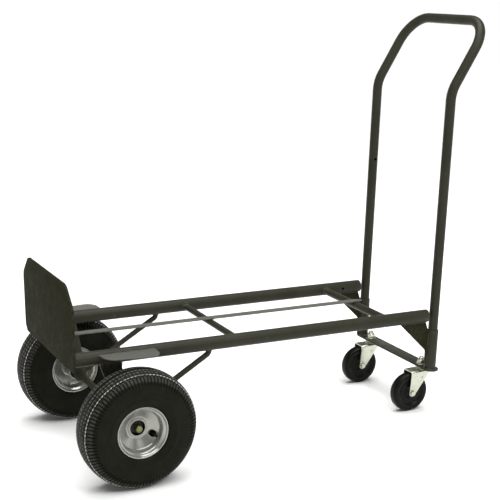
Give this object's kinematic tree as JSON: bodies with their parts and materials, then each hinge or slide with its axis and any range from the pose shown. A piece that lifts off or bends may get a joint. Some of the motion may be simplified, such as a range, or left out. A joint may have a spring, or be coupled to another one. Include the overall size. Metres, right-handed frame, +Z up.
{
  "type": "convertible hand truck",
  "caption": "Steel hand truck set down as a platform cart: large pneumatic wheels under an upright toe plate, swivel casters under a tall plug-in handle.",
  "frame": {"origin": "centre of the part's box on the floor", "axes": "+X from the toe plate to the handle, +Z up, -Y the left side as the person at the handle faces the toe plate"},
  "size_m": [1.0954, 0.5404, 0.9894],
  "materials": {
    "frame_coat": "satin powder coat",
    "zinc": "bright zinc plate",
    "bearing_steel": "dark sealed bearing",
    "rim_paint": "gloss silver-grey paint",
    "tyre_rubber": "ribbed black rubber",
    "valve_rubber": "matt black rubber",
    "caster_rubber": "smooth hard black rubber"
  },
  "bodies": {
    "frame": {"toe_plate": "frame_coat", "rail_left": "frame_coat", "rail_right": "frame_coat", "mid_crossbar": "frame_coat", "rear_crossbar": "frame_coat", "centre_strap": "frame_coat", "fender_left": "frame_coat", "fender_right": "frame_coat", "axle_bracket_left": "frame_coat", "axle_bracket_right": "frame_coat", "strut_left": "frame_coat", "strut_right": "frame_coat", "axle": "zinc", "axle_spacers": "zinc", "axle_washers": "bearing_steel", "axle_rings": "bearing_steel", "gusset_left": "frame_coat", "gusset_right": "frame_coat", "sleeve_left": "frame_coat", "sleeve_right": "frame_coat", "caster_crossbar": "frame_coat", "caster_nuts": "zinc", "caster_stem_left": "zinc", "caster_stem_right": "zinc"},
    "wheel_left": {"tyre_left": "tyre_rubber", "rim_outer_left": "rim_paint", "rim_inner_left": "rim_paint", "hub_left": "zinc", "bearings_left": "bearing_steel", "valve_left": "valve_rubber"},
    "swivel_left": {"fork_left": "zinc", "ball_race_left": "zinc", "caster_axle_left": "zinc"},
    "roller_left": {"caster_wheel_left": "caster_rubber", "caster_bush_left": "zinc"},
    "wheel_right": {"tyre_right": "tyre_rubber", "rim_outer_right": "rim_paint", "rim_inner_right": "rim_paint", "hub_right": "zinc", "bearings_right": "bearing_steel", "valve_right": "valve_rubber"},
    "swivel_right": {"fork_right": "zinc", "ball_race_right": "zinc", "caster_axle_right": "zinc"},
    "roller_right": {"caster_wheel_right": "caster_rubber", "caster_bush_right": "zinc"},
    "handle": {"handle": "frame_coat"}
  },
  "joints": [
    {"name": "wheel_left_spin", "type": "hinge", "parent": "frame", "child": "wheel_left", "pos_m": [-0.4127, -0.224, 0.135], "axis": [0, 1, 0], "continuous": true},
    {"name": "caster_left_swivel", "type": "hinge", "parent": "frame", "child": "swivel_left", "pos_m": [0.4213, -0.117, 0.109], "axis": [0, 0, 1], "continuous": true},
    {"name": "caster_left_roll", "type": "hinge", "parent": "swivel_left", "child": "roller_left", "pos_m": [0.3853, -0.117, 0.0508], "axis": [0, 1, 0], "continuous": true},
    {"name": "wheel_right_spin", "type": "hinge", "parent": "frame", "child": "wheel_right", "pos_m": [-0.4127, 0.224, 0.135], "axis": [0, 1, 0], "continuous": true},
    {"name": "caster_right_swivel", "type": "hinge", "parent": "frame", "child": "swivel_right", "pos_m": [0.4213, 0.117, 0.109], "axis": [0, 0, 1], "continuous": true},
    {"name": "caster_right_roll", "type": "hinge", "parent": "swivel_right", "child": "roller_right", "pos_m": [0.3853, 0.117, 0.0508], "axis": [0, 1, 0], "continuous": true},
    {"name": "handle_lift", "type": "slide", "parent": "frame", "child": "handle", "axis": [0.0227, 0, 0.9997], "range_m": [0, 0.2]}
  ]
}
